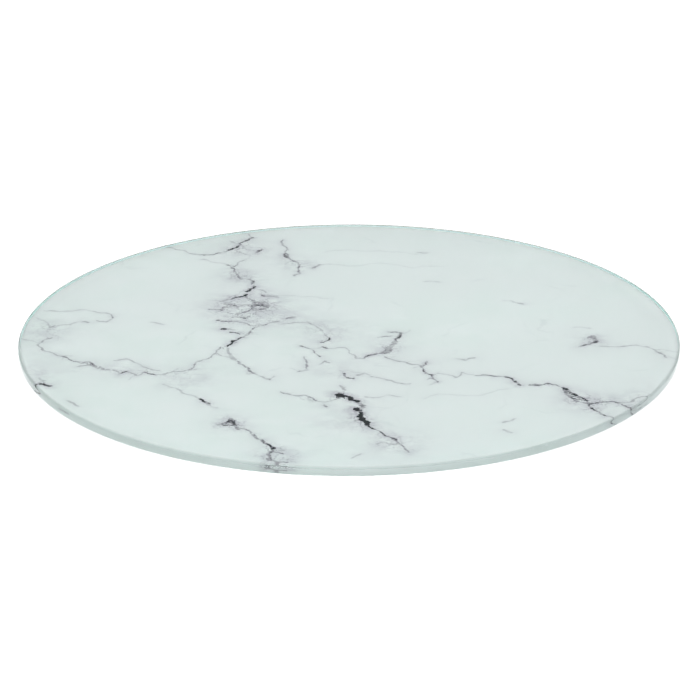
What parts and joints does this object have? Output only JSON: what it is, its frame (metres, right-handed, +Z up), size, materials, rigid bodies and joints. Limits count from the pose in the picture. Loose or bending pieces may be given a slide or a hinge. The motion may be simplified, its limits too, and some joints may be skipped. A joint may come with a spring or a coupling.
{
  "type": "cake turntable",
  "caption": "Round glass cake turntable with a marble print under the plate, bonded to a low swivel base with a ball race and rubber feet.",
  "frame": {"origin": "on the table, under the middle of the plate, where the turning axis meets the plane of the rubber soles", "axes": "+Z up along the turning axis; +X through the middle of foot_1 and ball_1"},
  "size_m": [0.3, 0.3, 0.0248],
  "materials": {
    "clear_glass": "clear float glass with a rounded, polished edge",
    "marble_print": "printed film, grey veins on white",
    "foam_tape": "closed-cell foam",
    "white_plastic": "fine-textured moulded ABS",
    "race_steel": "pressed and zinc plated, with a greased track",
    "screw_steel": "zinc plated",
    "bush_plastic": "natural acetal",
    "cage_plastic": "natural nylon",
    "pin_steel": "turned and zinc plated",
    "spring_steel": "phosphate-black spring steel",
    "ball_steel": "hardened and polished",
    "foot_rubber": "soft grey rubber"
  },
  "bodies": {
    "base": {"base_shell": "white_plastic", "lower_race": "race_steel", "lower_race_screws": "screw_steel", "pivot_pin": "pin_steel", "thrust_washer": "pin_steel", "spring_clip": "spring_steel", "foot_1": "foot_rubber", "foot_2": "foot_rubber", "foot_3": "foot_rubber", "foot_4": "foot_rubber", "foot_5": "foot_rubber", "foot_6": "foot_rubber"},
    "plate": {"glass_plate": "clear_glass", "marble_print": "marble_print", "outer_bond_ring": "foam_tape", "inner_bond_ring": "foam_tape", "top_carrier": "white_plastic", "upper_race": "race_steel", "upper_race_screws": "screw_steel", "pivot_bush": "bush_plastic"},
    "cage": {"ball_cage": "cage_plastic"},
    "ball_1": {"ball_1": "ball_steel"},
    "ball_2": {"ball_2": "ball_steel"},
    "ball_3": {"ball_3": "ball_steel"},
    "ball_4": {"ball_4": "ball_steel"},
    "ball_5": {"ball_5": "ball_steel"},
    "ball_6": {"ball_6": "ball_steel"},
    "ball_7": {"ball_7": "ball_steel"},
    "ball_8": {"ball_8": "ball_steel"},
    "ball_9": {"ball_9": "ball_steel"},
    "ball_10": {"ball_10": "ball_steel"},
    "ball_11": {"ball_11": "ball_steel"},
    "ball_12": {"ball_12": "ball_steel"}
  },
  "joints": [
    {"name": "plate_spin", "type": "hinge", "parent": "base", "child": "plate", "pos_m": [0, 0, 0.01112], "axis": [0, 0, 1], "continuous": true},
    {"name": "cage_spin", "type": "hinge", "parent": "base", "child": "cage", "pos_m": [0, 0, 0.01112], "axis": [0, 0, 1], "continuous": true},
    {"name": "ball_1_roll", "type": "hinge", "parent": "cage", "child": "ball_1", "pos_m": [0.055, 0, 0.01112], "axis": [1, 0, 0], "continuous": true},
    {"name": "ball_2_roll", "type": "hinge", "parent": "cage", "child": "ball_2", "pos_m": [0.04763, 0.0275, 0.01112], "axis": [0.866, 0.5, 0], "continuous": true},
    {"name": "ball_3_roll", "type": "hinge", "parent": "cage", "child": "ball_3", "pos_m": [0.0275, 0.04763, 0.01112], "axis": [0.5, 0.866, 0], "continuous": true},
    {"name": "ball_4_roll", "type": "hinge", "parent": "cage", "child": "ball_4", "pos_m": [0, 0.055, 0.01112], "axis": [0, 1, 0], "continuous": true},
    {"name": "ball_5_roll", "type": "hinge", "parent": "cage", "child": "ball_5", "pos_m": [-0.0275, 0.04763, 0.01112], "axis": [-0.5, 0.866, 0], "continuous": true},
    {"name": "ball_6_roll", "type": "hinge", "parent": "cage", "child": "ball_6", "pos_m": [-0.04763, 0.0275, 0.01112], "axis": [-0.866, 0.5, 0], "continuous": true},
    {"name": "ball_7_roll", "type": "hinge", "parent": "cage", "child": "ball_7", "pos_m": [-0.055, 0, 0.01112], "axis": [-1, 0, 0], "continuous": true},
    {"name": "ball_8_roll", "type": "hinge", "parent": "cage", "child": "ball_8", "pos_m": [-0.04763, -0.0275, 0.01112], "axis": [-0.866, -0.5, 0], "continuous": true},
    {"name": "ball_9_roll", "type": "hinge", "parent": "cage", "child": "ball_9", "pos_m": [-0.0275, -0.04763, 0.01112], "axis": [-0.5, -0.866, 0], "continuous": true},
    {"name": "ball_10_roll", "type": "hinge", "parent": "cage", "child": "ball_10", "pos_m": [0, -0.055, 0.01112], "axis": [0, -1, 0], "continuous": true},
    {"name": "ball_11_roll", "type": "hinge", "parent": "cage", "child": "ball_11", "pos_m": [0.0275, -0.04763, 0.01112], "axis": [0.5, -0.866, 0], "continuous": true},
    {"name": "ball_12_roll", "type": "hinge", "parent": "cage", "child": "ball_12", "pos_m": [0.04763, -0.0275, 0.01112], "axis": [0.866, -0.5, 0], "continuous": true}
  ],
  "couplings": [
    {"joint": "cage_spin", "follows": "plate_spin", "ratio": 0.5},
    {"joint": "ball_1_roll", "follows": "plate_spin", "ratio": -9.1667},
    {"joint": "ball_2_roll", "follows": "plate_spin", "ratio": -9.1667},
    {"joint": "ball_3_roll", "follows": "plate_spin", "ratio": -9.1667},
    {"joint": "ball_4_roll", "follows": "plate_spin", "ratio": -9.1667},
    {"joint": "ball_5_roll", "follows": "plate_spin", "ratio": -9.1667},
    {"joint": "ball_6_roll", "follows": "plate_spin", "ratio": -9.1667},
    {"joint": "ball_7_roll", "follows": "plate_spin", "ratio": -9.1667},
    {"joint": "ball_8_roll", "follows": "plate_spin", "ratio": -9.1667},
    {"joint": "ball_9_roll", "follows": "plate_spin", "ratio": -9.1667},
    {"joint": "ball_10_roll", "follows": "plate_spin", "ratio": -9.1667},
    {"joint": "ball_11_roll", "follows": "plate_spin", "ratio": -9.1667},
    {"joint": "ball_12_roll", "follows": "plate_spin", "ratio": -9.1667}
  ]
}
